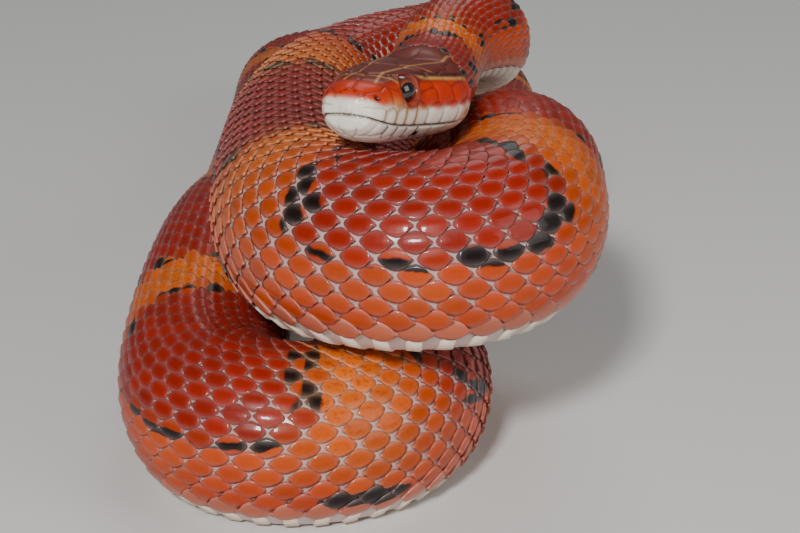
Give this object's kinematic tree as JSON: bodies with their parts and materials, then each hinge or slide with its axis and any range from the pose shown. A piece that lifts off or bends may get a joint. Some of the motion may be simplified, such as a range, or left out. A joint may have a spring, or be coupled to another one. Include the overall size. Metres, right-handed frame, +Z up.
{
  "type": "corn snake, still life-size model",
  "caption": "Adult corn snake resting in a heap of two coils with its head on top, the rear of the body folded behind it; a still, life-size display model.",
  "frame": {"origin": "centre of the whole snake's outline on the floor it rests on", "axes": "+Z up; the head and the front of the coils face -Y; +X is to the right as seen from the front"},
  "size_m": [0.0818, 0.2532, 0.0705],
  "materials": {
    "scales": "smooth glossy scales, orange with dark red saddles edged in black",
    "eye": "wet black pupil with a thin brown iris"
  },
  "bodies": {
    "root": {"head": "scales", "lower_jaw": "scales", "eye_left": "eye", "eye_right": "eye", "neck": "scales", "trunk_1": "scales", "trunk_2": "scales", "trunk_3": "scales", "trunk_4": "scales", "trunk_5": "scales", "trunk_6": "scales", "trunk_7": "scales", "trunk_8": "scales", "trunk_9": "scales", "trunk_10": "scales", "trunk_11": "scales", "tail_1": "scales", "tail_2": "scales"}
  },
  "joints": []
}
